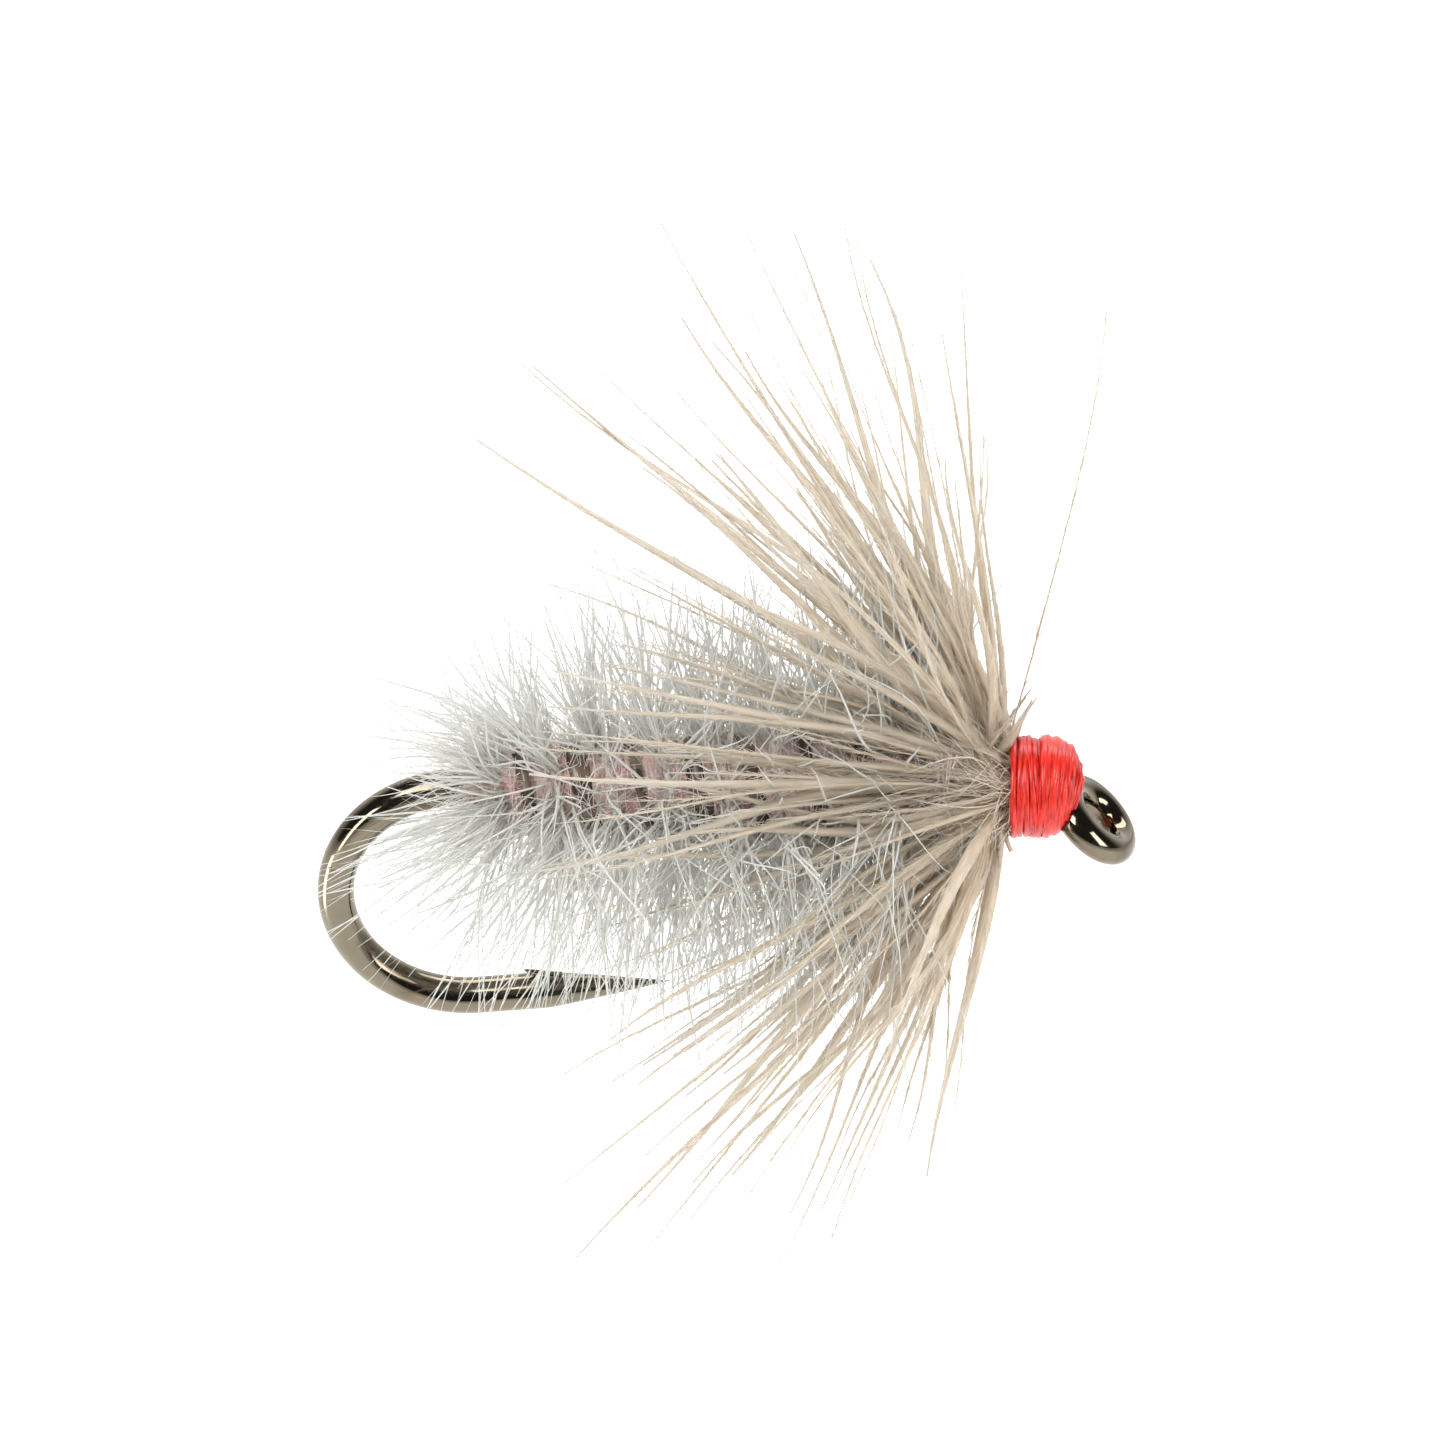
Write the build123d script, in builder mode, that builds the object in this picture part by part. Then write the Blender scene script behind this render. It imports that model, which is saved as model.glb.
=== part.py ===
"""A dry fly on a down-eye barbed hook: palmered body, swept front hackle and a red thread head.

Frame, in millimetres: the origin is the centre of the hook eye's hole, +X runs along the shank
and out past the eye, +Z is up, and the hook's point hangs below the shank in the plane Y = 0.
"""

import os
from math import atan, cos, degrees, radians, sin, sqrt, tan

from build123d import *

os.makedirs("parts", exist_ok=True)

# Hook
wire_dia = 0.55
shank_height = 0.607
bend_radius = 1.92
bend_start = -9.23
spear_rise = 5.3
spear_length = 1.0
point_length = 1.85
point_shoulder = 0.9
point_shoulder_dia = 0.11
point_tip_dia = 0.03
barb_start = 0.72
barb_length = 0.5
barb_height = 0.13
barb_width = 0.2
barb_notch = (0.3, 0.45)
barb_back_depth = 0.02
barb_root_depth = 0.1
eye_tilt = 42
eye_radius = 0.543
eye_wire_dia = 0.48
eye_hole_dia = 0.66
neck_corner_radius = 0.34
neck_foot_dia = 0.384

# Thread, body and rib. A span is where a piece starts and ends along the shank.
thread_dia = 0.11
wrap_relief = 0.3
base_outer_dia = 0.64
rear_wraps_span = (-9.2, -9.04)
rear_wraps_dia = 0.86
body_span = (-9.02, -2.0)
body_dia = (0.96, 1.52)
body_end_fillet = 0.06
rib_width = 0.22
rib_thickness = 0.11
rib_start = -8.43
rib_turns = 7.4
rib_pitch = 0.835
tie_off_span = (-1.98, -1.23)
tie_off_dia = 0.9

# Palmered body hackle
body_turns = 8
body_stem_start = -8.85
body_stem_dia = 0.12
body_barbs_per_turn = 16
body_barb_width = 0.07
body_reach = (2.7, 3.4)
body_length_share = (0.86, 1.0)
body_sweep = (2, 18)
rear_sweep = (15, 64)
parted_sweep = 5
turn_stagger = 3

# Front hackle
front_turns = 3
front_stem_start = -1.86
front_stem_dia = 0.14
front_pitch = 0.165
front_barbs_per_turn = 16
front_barb_width = 0.13
front_barb_length = (7.6, 9.4)
front_sweep = (12, 55)
clear_of_point_sweep = 48
stray_barb = 1
stray_sweep = -7
length_shift = 3
butt_dia = 0.09
butt_reach = 0.95
butt_station = -1.27
butt_angle = 35

# Head
collar_span = (-1.2, -1.04)
collar_dia = 1.62
head_span = (-1.03, -0.2)
head_dia = 1.56
head_sag = 0.1
whip_place = (-0.46, 0, 0.56)
whip_tilt = 14
whip_length = 0.22
whip_dia = (1.3, 0.96)

wire_radius = wire_dia / 2
barb_tip_share = 0.3
barb_flatness = 0.55
points_down = -0.95
root_sink = 0.03
gap = 0.004
golden_ratio = (sqrt(5) - 1) / 2

shank_plane = Plane(origin=(0, 0, shank_height), x_dir=(1, 0, 0), z_dir=(0, -1, 0))
shank_axis = Axis(shank_plane.origin, shank_plane.x_dir)


def vary(index, span):
    """A value between a span's two ends that looks irregular but is the same every time."""
    low, high = span
    return low + (high - low) * (index * golden_ratio % 1)


def export(builder, name):
    """Label a finished sub-part and write its STEP file."""
    builder.part.label = name
    export_step(builder.part, f"parts/{name}.step")


def wound_section(plane, span, core_radius, dias, sag=0.0):
    """Half section of thread wound side by side: one round bump for each wrap of the thread.

    The outer line runs from the first diameter to the second and drops by sag at both ends.
    """
    start, end = span
    wraps = round((end - start) / thread_dia)
    step = (end - start) / wraps
    bump = step * wrap_relief

    def radius(x):
        share = (x - start) / (end - start)
        return (dias[0] + (dias[1] - dias[0]) * share) / 2 - sag * (2 * share - 1) ** 2

    with BuildSketch(plane) as section:
        with BuildLine():
            for wrap in range(wraps):
                left = start + wrap * step
                middle = left + step / 2
                right = left + step
                ThreePointArc(
                    (left, radius(left) - bump),
                    (middle, radius(middle)),
                    (right, radius(right) - bump),
                )
            Polyline(
                (end, radius(end) - bump),
                (end, core_radius),
                (start, core_radius),
                (start, radius(start) - bump),
            )
        make_face()
    return section.sketch


def body_radius(x):
    """The dubbed body's outer radius at a station along the shank."""
    share = (x - body_span[0]) / (body_span[1] - body_span[0])
    return (body_dia[0] + (body_dia[1] - body_dia[0]) * share) / 2


def on_helix(x, start, pitch, radius):
    """A point on a helix round the shank that starts above it and first turns towards -Y."""
    angle = radians(360 * (x - start) / pitch)
    return Vector(x, -radius * sin(angle), shank_height + radius * cos(angle))


def outward(point):
    """The unit vector that points from the shank's axis to a point."""
    return Vector(0, point.Y, point.Z - shank_height).normalized()


def barb_plane(root, sweep):
    """A plane at a barb's root that faces along the barb, swept back from straight out."""
    radial = outward(root)
    along = radial * cos(radians(sweep)) - Vector(1, 0, 0) * sin(radians(sweep))
    return Plane(origin=root, x_dir=Vector(1, 0, 0).cross(radial), z_dir=along)


def body_barbs(turn):
    """Root plane and length of each barb in one turn of the body hackle."""
    for barb in range(body_barbs_per_turn):
        index = turn * body_barbs_per_turn + barb
        share = (barb + (turn % turn_stagger + 0.5) / turn_stagger) / body_barbs_per_turn
        x = body_stem_start + rib_pitch * (turn + share)
        root_radius = body_radius(x) + body_stem_dia - root_sink
        root = on_helix(x, body_stem_start, rib_pitch, root_radius)
        sweep = vary(index, rear_sweep if turn == 0 else body_sweep)
        if outward(root).Z < points_down:
            sweep = parted_sweep
        along_body = (x - body_span[0]) / (body_span[1] - body_span[0])
        reach = body_reach[0] + (body_reach[1] - body_reach[0]) * along_body
        yield barb_plane(root, sweep), (reach - root_radius) * vary(index, body_length_share)


def front_barbs(turn):
    """Root plane and length of each barb in one turn of the front hackle."""
    for barb in range(front_barbs_per_turn):
        index = turn * front_barbs_per_turn + barb
        share = (barb + turn / front_turns) / front_barbs_per_turn
        x = front_stem_start + front_pitch * (turn + share)
        root_radius = tie_off_dia / 2 + front_stem_dia - root_sink
        root = on_helix(x, front_stem_start, front_pitch, root_radius)
        sweep = vary(index, front_sweep)
        if outward(root).Z < points_down:
            sweep = min(sweep, clear_of_point_sweep)
        if turn == front_turns - 1 and barb == stray_barb:
            sweep = stray_sweep
        yield barb_plane(root, sweep), vary(index + length_shift, front_barb_length)


# Hook: a round wire from the eye's neck along the shank, round the bend and up the spear.
eye_out = Vector(cos(radians(eye_tilt)), 0, -sin(radians(eye_tilt)))
eye_axis = Vector(sin(radians(eye_tilt)), 0, cos(radians(eye_tilt)))
eye_plane = Plane(origin=(0, 0, 0), x_dir=eye_out, z_dir=eye_axis)
neck_start = eye_out * -eye_radius
neck_length = (shank_height - neck_start.Z) / sin(radians(eye_tilt))
neck_corner = neck_start - eye_out * neck_length
neck_tangent = neck_corner_radius * tan(radians(eye_tilt / 2))
neck_top = neck_corner + eye_out * neck_tangent
spear_angle = radians(270 + spear_rise)
spear_start = Vector(
    bend_start + bend_radius * cos(spear_angle),
    0,
    shank_height - bend_radius + bend_radius * sin(spear_angle),
)
spear_along = Vector(cos(radians(spear_rise)), 0, sin(radians(spear_rise)))
spear_plane = Plane(origin=spear_start, x_dir=spear_along, z_dir=(0, -1, 0))
point_start = spear_start + spear_along * spear_length
point_plane = Plane(origin=point_start, z_dir=spear_along)

with BuildPart() as hook:
    with BuildLine(Plane.XZ):
        neck_arc_end = (neck_corner.X - neck_tangent, shank_height)
        TangentArc((neck_top.X, neck_top.Z), neck_arc_end, tangent=(-eye_out.X, -eye_out.Z))
        Line(neck_arc_end, (bend_start, shank_height))
        CenterArc((bend_start, shank_height - bend_radius), bend_radius, 90, 180 + spear_rise)
        Line((spear_start.X, spear_start.Z), (point_start.X, point_start.Z))
    with BuildSketch(Plane(origin=neck_top, z_dir=-eye_out)):
        Circle(wire_radius)
    sweep()
    with BuildSketch(Plane(origin=neck_top, z_dir=eye_out)):
        Circle(wire_radius)
    with BuildSketch(Plane(origin=neck_start, z_dir=eye_out)):
        Circle(neck_foot_dia / 2)
    loft()
    with BuildSketch(point_plane):
        Circle(wire_radius)
    with BuildSketch(point_plane.offset(point_length * point_shoulder)):
        Circle(point_shoulder_dia / 2)
    with BuildSketch(point_plane.offset(point_length)):
        Circle(point_tip_dia / 2)
    loft(ruled=True)
    with BuildSketch(spear_plane):
        with BuildLine():
            barb_root = barb_start + barb_length
            Polyline(
                (barb_start, wire_radius + barb_height),
                (barb_root, wire_radius - barb_back_depth),
                (barb_root, wire_radius - barb_root_depth),
                (barb_start + barb_length * barb_notch[1], wire_radius - barb_root_depth),
                (barb_start + barb_length * barb_notch[0], wire_radius),
                close=True,
            )
        make_face()
    extrude(amount=barb_width / 2, both=True)
    with Locations(eye_plane.location):
        Torus(eye_radius, eye_wire_dia / 2)
        Cylinder(eye_hole_dia / 2, eye_wire_dia * 2, mode=Mode.SUBTRACT)
export(hook, "hook")

# Thread laid along the shank under everything else, and the wraps that hold the body's ends.
with BuildPart() as shank_thread_base:
    with BuildSketch(Plane.YZ.offset(rear_wraps_span[0])):
        with Locations((0, shank_height)):
            Circle(base_outer_dia / 2)
            Circle(wire_radius, mode=Mode.SUBTRACT)
    extrude(amount=tie_off_span[1] - rear_wraps_span[0])
export(shank_thread_base, "shank_thread_base")

with BuildPart() as rear_tie_in_wraps:
    dias = (rear_wraps_dia, rear_wraps_dia)
    add(wound_section(shank_plane, rear_wraps_span, base_outer_dia / 2, dias))
    revolve(axis=shank_axis)
export(rear_tie_in_wraps, "rear_tie_in_wraps")

with BuildPart() as body_hackle_tie_off:
    dias = (tie_off_dia, tie_off_dia)
    add(wound_section(shank_plane, tie_off_span, base_outer_dia / 2, dias))
    revolve(axis=shank_axis)
export(body_hackle_tie_off, "body_hackle_tie_off")

# The dubbed body: a slim cone with rounded ends, thicker towards the eye.
with BuildPart() as dubbed_underbody:
    with BuildSketch(shank_plane):
        with BuildLine():
            Polyline(
                (body_span[0], base_outer_dia / 2),
                (body_span[0], body_dia[0] / 2),
                (body_span[1], body_dia[1] / 2),
                (body_span[1], base_outer_dia / 2),
                close=True,
            )
        make_face()
    revolve(axis=shank_axis)
    ends = dubbed_underbody.edges().filter_by(GeomType.CIRCLE)
    fillet([edge for edge in ends if edge.radius > base_outer_dia / 2 + gap], body_end_fillet)
export(dubbed_underbody, "dubbed_underbody")

# The flat quill rib and the hackle's round stem: two helices half a pitch apart on the cone.
body_taper = degrees(atan((body_dia[1] - body_dia[0]) / 2 / (body_span[1] - body_span[0])))

with BuildPart() as body_rib:
    rib_radius = body_radius(rib_start) + rib_thickness / 2 + 2 * gap
    centre = (rib_start, 0, shank_height)
    with BuildLine() as rib_path:
        Helix(rib_pitch, rib_turns * rib_pitch, rib_radius, centre, (1, 0, 0), body_taper)
    with BuildSketch(Plane(origin=rib_path.line @ 0, x_dir=(1, 0, 0), z_dir=rib_path.line % 0)):
        Rectangle(rib_width, rib_thickness)
    sweep(is_frenet=True)
export(body_rib, "body_rib")

with BuildPart() as body_hackle_stem:
    stem_radius = body_radius(body_stem_start) + body_stem_dia / 2 + gap
    centre = (body_stem_start, 0, shank_height)
    with BuildLine() as stem_path:
        Helix(rib_pitch, body_turns * rib_pitch, stem_radius, centre, (1, 0, 0), body_taper)
    with BuildSketch(Plane(origin=stem_path.line @ 0, z_dir=stem_path.line % 0)):
        Circle(body_stem_dia / 2)
    sweep()
export(body_hackle_stem, "body_hackle_stem")

for turn in range(body_turns):
    with BuildPart() as body_hackle_turn:
        for root_plane, length in body_barbs(turn):
            with BuildSketch(root_plane):
                Rectangle(body_barb_width, body_barb_width * barb_flatness)
            with BuildSketch(root_plane.offset(length)):
                tip_width = body_barb_width * barb_tip_share
                Rectangle(tip_width, tip_width * barb_flatness)
            loft(ruled=True, clean=False)
    export(body_hackle_turn, f"body_hackle_turn_{turn + 1}")

# Front hackle: close turns of a stouter stem, with long webby barbs swept back over the body.
with BuildPart() as front_hackle_stem:
    stem_radius = tie_off_dia / 2 + front_stem_dia / 2 + gap
    centre = (front_stem_start, 0, shank_height)
    with BuildLine() as stem_path:
        Helix(front_pitch, front_turns * front_pitch, stem_radius, centre, (1, 0, 0))
    with BuildSketch(Plane(origin=stem_path.line @ 0, z_dir=stem_path.line % 0)):
        Circle(front_stem_dia / 2)
    sweep()
export(front_hackle_stem, "front_hackle_stem")

for turn in range(front_turns):
    with BuildPart() as front_hackle_turn:
        for root_plane, length in front_barbs(turn):
            with BuildSketch(root_plane):
                Rectangle(front_barb_width, front_barb_width * barb_flatness)
            with BuildSketch(root_plane.offset(length)):
                tip_width = front_barb_width * barb_tip_share
                Rectangle(tip_width, tip_width * barb_flatness)
            loft(ruled=True, clean=False)
    export(front_hackle_turn, f"front_hackle_turn_{turn + 1}")

with BuildPart() as front_hackle_butt:
    butt_out = Vector(0, -sin(radians(butt_angle)), -cos(radians(butt_angle)))
    butt_root = Vector(butt_station, 0, shank_height) + butt_out * (tie_off_dia / 2)
    with BuildSketch(Plane(origin=butt_root, z_dir=butt_out)):
        Circle(butt_dia / 2)
    extrude(amount=butt_reach - tie_off_dia / 2)
export(front_hackle_butt, "front_hackle_butt")

# Head: a collar of thread against the hackle, the barrel of the head, and the whip finish,
# which leans down over the neck of the eye.
whip_along = Vector(cos(radians(whip_tilt)), 0, -sin(radians(whip_tilt)))
whip_plane = Plane(origin=whip_place, x_dir=whip_along, z_dir=(0, -1, 0))
whip_face = Plane(origin=whip_place, z_dir=whip_along)

with BuildPart() as hackle_collar_wraps:
    dias = (collar_dia, collar_dia)
    add(wound_section(shank_plane, collar_span, wire_radius, dias))
    revolve(axis=shank_axis)
export(hackle_collar_wraps, "hackle_collar_wraps")

with BuildPart() as head_thread_wraps:
    add(wound_section(shank_plane, head_span, 0, (head_dia, head_dia), head_sag))
    revolve(axis=shank_axis)
    split(bisect_by=whip_face, keep=Keep.BOTTOM)
    add(hook.part, mode=Mode.SUBTRACT)
export(head_thread_wraps, "head_thread_wraps")

with BuildPart() as whip_finish_wraps:
    add(wound_section(whip_plane, (0, whip_length), 0, whip_dia))
    revolve(axis=Axis(whip_place, whip_along))
    add(hook.part, mode=Mode.SUBTRACT)
export(whip_finish_wraps, "whip_finish_wraps")
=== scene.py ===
"""The dry fly's looks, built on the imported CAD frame.

Lengths are in metres, as in Blender, and MM converts from millimetres. The shank runs along x
with the eye in front, z is up, and the camera is on the side of negative y, the near side.
"""

import math

import bpy
import numpy as np
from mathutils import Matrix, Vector


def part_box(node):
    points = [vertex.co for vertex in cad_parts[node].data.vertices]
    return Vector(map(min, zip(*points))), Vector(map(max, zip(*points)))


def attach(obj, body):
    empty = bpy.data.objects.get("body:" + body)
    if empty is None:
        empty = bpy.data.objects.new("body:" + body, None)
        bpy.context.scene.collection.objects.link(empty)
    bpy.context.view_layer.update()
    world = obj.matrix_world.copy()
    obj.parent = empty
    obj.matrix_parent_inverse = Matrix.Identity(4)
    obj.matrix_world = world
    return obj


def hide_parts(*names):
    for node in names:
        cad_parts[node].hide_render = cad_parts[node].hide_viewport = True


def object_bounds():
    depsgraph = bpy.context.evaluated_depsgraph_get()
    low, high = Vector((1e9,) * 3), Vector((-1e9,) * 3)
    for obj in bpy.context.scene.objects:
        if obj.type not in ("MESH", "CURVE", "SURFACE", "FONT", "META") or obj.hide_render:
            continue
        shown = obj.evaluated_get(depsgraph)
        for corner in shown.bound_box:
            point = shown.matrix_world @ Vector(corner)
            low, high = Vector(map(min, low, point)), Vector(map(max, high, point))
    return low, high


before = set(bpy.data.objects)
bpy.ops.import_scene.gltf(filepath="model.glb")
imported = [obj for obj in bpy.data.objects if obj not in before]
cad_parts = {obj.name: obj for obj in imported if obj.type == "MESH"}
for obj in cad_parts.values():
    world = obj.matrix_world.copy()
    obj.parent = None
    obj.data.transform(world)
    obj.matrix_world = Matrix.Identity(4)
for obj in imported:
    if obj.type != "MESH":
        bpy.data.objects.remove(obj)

cad_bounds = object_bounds()

MM = 0.001
TAU = 2 * math.pi
BODY = "root"
ALONG = np.array([1.0, 0.0, 0.0])
ACROSS = np.array([0.0, 1.0, 0.0])
CAMERA_ELEVATION = math.radians(36)

# Corners of the boxes round the CAD nodes
hook_low, hook_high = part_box("hook")
base_low, base_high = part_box("shank_thread_base")
dubbing_low, dubbing_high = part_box("dubbed_underbody")
tie_off_low, tie_off_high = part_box("body_hackle_tie_off")
collar_low, collar_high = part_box("hackle_collar_wraps")
head_low, head_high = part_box("head_thread_wraps")
whip_low, whip_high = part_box("whip_finish_wraps")
rear_low, rear_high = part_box("rear_tie_in_wraps")
rib_low, rib_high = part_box("body_rib")
stem_low, stem_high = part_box("body_hackle_stem")
front_stem_low, front_stem_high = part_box("front_hackle_stem")
butt_low, butt_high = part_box("front_hackle_butt")


def half_height(low, high):
    """Half a box's height: the outer radius of what is wound round the shank."""
    return (high.z - low.z) / 2


# The hook
SHANK_Z = (base_low.z + base_high.z) / 2
WIRE_RADIUS = hook_high.z - SHANK_Z
BEND_RADIUS = (SHANK_Z - WIRE_RADIUS - hook_low.z) / 2
BEND_START = hook_low.x + WIRE_RADIUS + BEND_RADIUS
EYE_WIRE_RADIUS = 0.24 * MM
EYE_RADIUS = hook_high.y - EYE_WIRE_RADIUS
EYE_TILT = math.radians(42)
SPEAR_RISE = math.radians(5.3)
SPEAR_LENGTH = 1.0 * MM
POINT_LENGTH = 1.85 * MM
WIRE_START = head_low.x + 0.2 * MM        # both starts are hidden inside the head
NECK_START = head_low.x + 0.1 * MM

# The thread, as half its width
RED_THREAD = 0.041 * MM
PINK_THREAD = 0.05 * MM

# The body, a cone that widens towards the head
REAR_RADIUS = 0.48 * MM
FRONT_RADIUS = half_height(dubbing_low, dubbing_high)
RIB_TURNS = 7.4
RIB_TURNS_IN_BOX = 7.5        # the same pitch, counted over the rib's whole box
BODY_TURNS = 8
BODY_STEM_START = stem_low.x + 0.06 * MM
BODY_STEM_END = stem_high.x - 0.06 * MM

# The front hackle
FRONT_TURNS = 3
FRONT_STEM_START = front_stem_low.x + 0.08 * MM
FRONT_STEM_END = front_stem_high.x - 0.06 * MM
FRONT_STEM_OUTSIDE = half_height(front_stem_low, front_stem_high)
FRONT_ROOT_RADIUS = FRONT_STEM_OUTSIDE - 0.10 * MM

# Directions round the shank, as seen by the camera
ABOVE = -CAMERA_ELEVATION
BELOW = ABOVE + math.pi
NEAR = ABOVE + math.pi / 2
FAR = NEAR + math.pi


# ---------------------------------------------------------------- mesh building


def unit(vectors):
    """Each vector scaled to length one."""
    vectors = np.asarray(vectors, float)
    return vectors / np.maximum(np.linalg.norm(vectors, axis=-1, keepdims=True), 1e-12)


def tilted(angle):
    """The shank's direction turned down by an angle, and the direction square to it and up."""
    along = np.array([math.cos(angle), 0, -math.sin(angle)])
    rise = np.array([math.sin(angle), 0, math.cos(angle)])
    return along, rise


def spread(values, count):
    """Resample a short list of numbers evenly to a given count, smoothly."""
    values = np.asarray(values, float)
    place = np.linspace(0, len(values) - 1, count)
    low = np.clip(np.floor(place).astype(int), 0, len(values) - 2)
    share = place - low
    share = share * share * (3 - 2 * share)
    return values[low] * (1 - share) + values[low + 1] * share


def strand_frames(paths):
    """Tangent and two steady side vectors at each point of each path, by parallel transport."""
    tangents = unit(np.gradient(paths, axis=1))
    # The first side vector comes from any direction that the path doesn't start along
    usable = np.abs(tangents[:, :1, 1:2]) < 0.9
    helper = np.where(usable, ACROSS[None, None], ALONG[None, None])
    side = unit(np.cross(tangents[:, 0], helper[:, 0]))
    sides = [side]
    for step in range(1, paths.shape[1]):
        tangent = tangents[:, step]
        side = unit(side - tangent * np.sum(side * tangent, -1, keepdims=True))
        sides.append(side)
    first = np.stack(sides, 1)
    return tangents, first, np.cross(tangents, first)


def grid_faces(rings, sides):
    """Quads that join neighbouring points of a grid of closed rings."""
    ring = np.arange(rings - 1)[:, None]
    side = np.arange(sides)[None, :]
    after = (side + 1) % sides
    corners = [ring * sides + side, ring * sides + after]
    corners += [(ring + 1) * sides + after, (ring + 1) * sides + side]
    return np.stack(corners, -1).reshape(-1, 4)


def stack(points):
    """A set of strands as one grid: points, faces, and each point's strand and place along it."""
    count, rings, sides = points.shape[:3]
    faces = grid_faces(rings, sides)
    offsets = np.arange(count)[:, None, None] * rings * sides
    along = np.broadcast_to(np.linspace(0, 1, rings)[None, :, None], points.shape[:3])
    strand = np.broadcast_to(np.arange(count)[:, None, None], points.shape[:3])
    return {
        "points": points.reshape(-1, 3),
        "faces": (faces[None] + offsets).reshape(-1, 4),
        "along": along.reshape(-1),
        "strand": strand.reshape(-1),
    }


def merge(*grids):
    """Several grids as one, with their strands numbered on."""
    total = {"points": [], "faces": [], "along": [], "strand": []}
    vertices, strands = 0, 0
    for grid in grids:
        total["points"].append(grid["points"])
        total["faces"].append(grid["faces"] + vertices)
        total["along"].append(grid["along"])
        total["strand"].append(grid["strand"] + strands)
        vertices += len(grid["points"])
        strands += int(grid["strand"].max()) + 1
    return {key: np.concatenate(value) for key, value in total.items()}


def tubes(paths, radii, sides=3, flat=1.0, spin=None):
    """A grid of round or flattened tubes along many paths of equal point count."""
    paths = np.asarray(paths, float)
    count, rings = paths.shape[:2]
    radii = np.broadcast_to(radii, (count, rings))
    _, first, second = strand_frames(paths)
    turn = np.zeros(count) if spin is None else np.asarray(spin)
    angle = TAU * np.arange(sides) / sides
    wide = first * np.cos(turn)[:, None, None] + second * np.sin(turn)[:, None, None]
    thin = second * np.cos(turn)[:, None, None] - first * np.sin(turn)[:, None, None]
    ring = wide[:, :, None] * np.cos(angle)[None, None, :, None]
    ring = ring + flat * thin[:, :, None] * np.sin(angle)[None, None, :, None]
    return stack(paths[:, :, None] + ring * radii[:, :, None, None])


def tube(path, radii, sides, flat=1.0):
    """A grid of one tube, whose radius is one number or one for each point."""
    return tubes(path[None], radii, sides, flat)


def piece(name, grid, material, nodes, seed=0):
    """A Blender mesh object from a grid, riding on the fly and standing for its CAD nodes."""
    mesh = bpy.data.meshes.new(name)
    points, faces = grid["points"], grid["faces"]
    corners = faces.shape[1]
    mesh.vertices.add(len(points))
    mesh.vertices.foreach_set("co", points.astype(np.float32).ravel())
    mesh.loops.add(faces.size)
    mesh.loops.foreach_set("vertex_index", faces.astype(np.int32).ravel())
    mesh.polygons.add(len(faces))
    mesh.polygons.foreach_set("loop_start", np.arange(0, faces.size, corners, dtype=np.int32))
    mesh.polygons.foreach_set("use_smooth", np.ones(len(faces), bool))
    shade = np.random.default_rng(seed).random(int(grid["strand"].max()) + 1)
    for key, values in (("along", grid["along"]), ("shade", shade[grid["strand"]])):
        attribute = mesh.attributes.new(key, "FLOAT", "POINT")
        attribute.data.foreach_set("value", values.astype(np.float32))
    mesh.update(calc_edges=True)
    mesh.validate()
    mesh.materials.append(material)
    made = bpy.data.objects.new(name, mesh)
    bpy.context.scene.collection.objects.link(made)
    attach(made, BODY)
    if nodes:
        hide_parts(*nodes)
    return made


# ---------------------------------------------------------------- materials

# The Mix node has its own sockets for each kind of data: factor, first, second and result
MIX_SOCKETS = {"RGBA": (0, 6, 7, 2), "FLOAT": (0, 2, 3, 0)}

# Each fibre's colour at its root, middle and tip, the colour that lightens some of them, its
# roughness, and how much light passes through it
FIBRE_LOOKS = {
    "underfur": (
        (0.90, 0.60, 0.57), (0.92, 0.74, 0.69), (0.92, 0.85, 0.80), (0.5, 0.5, 0.48), 0.35, 0.35
    ),
    "grey_stem": (
        (0.55, 0.53, 0.47), (0.6, 0.58, 0.52), (0.7, 0.68, 0.62), (0.2, 0.2, 0.2), 0.4, 0.1
    ),
    "grey_fibre": (
        (0.83, 0.825, 0.785), (0.825, 0.825, 0.795), (0.73, 0.735, 0.71), (0.5, 0.5, 0.5), 0.28, 0.6
    ),
    "grey_web": (
        (0.88, 0.87, 0.83), (0.88, 0.875, 0.845), (0.85, 0.85, 0.82), (0.4, 0.4, 0.4), 0.5, 0.6
    ),
    "tan_vane": (
        (0.91, 0.80, 0.655), (0.92, 0.85, 0.735), (0.86, 0.82, 0.75), (0.4, 0.38, 0.34), 0.5, 0.65
    ),
    "tan_rachis": (
        (0.62, 0.51, 0.37), (0.68, 0.59, 0.46), (0.69, 0.635, 0.55), (0.35, 0.32, 0.27), 0.4, 0.4
    ),
    "tan_barbule": (
        (0.92, 0.81, 0.66), (0.92, 0.855, 0.75), (0.88, 0.845, 0.785), (0.35, 0.33, 0.3), 0.6, 0.65
    ),
    "tan_stem": (
        (0.50, 0.40, 0.33), (0.56, 0.46, 0.38), (0.62, 0.52, 0.44), (0.2, 0.18, 0.16), 0.4, 0.1
    ),
}


def grey(level):
    """A neutral colour."""
    return (level, level, level)


def shader(name, **values):
    """A material whose Principled sockets hold the given constants."""
    material = bpy.data.materials.new(name)
    material.use_nodes = True
    bsdf = material.node_tree.nodes["Principled BSDF"]
    for socket, value in values.items():
        bsdf.inputs[socket.replace("_", " ")].default_value = value
    return material, material.node_tree, bsdf


def add_node(tree, kind, **settings):
    """A shader node with its properties and input values set."""
    node = tree.nodes.new(kind)
    for key, value in settings.items():
        if key in node.inputs:
            node.inputs[key].default_value = value
        else:
            setattr(node, key, value)
    return node


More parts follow.
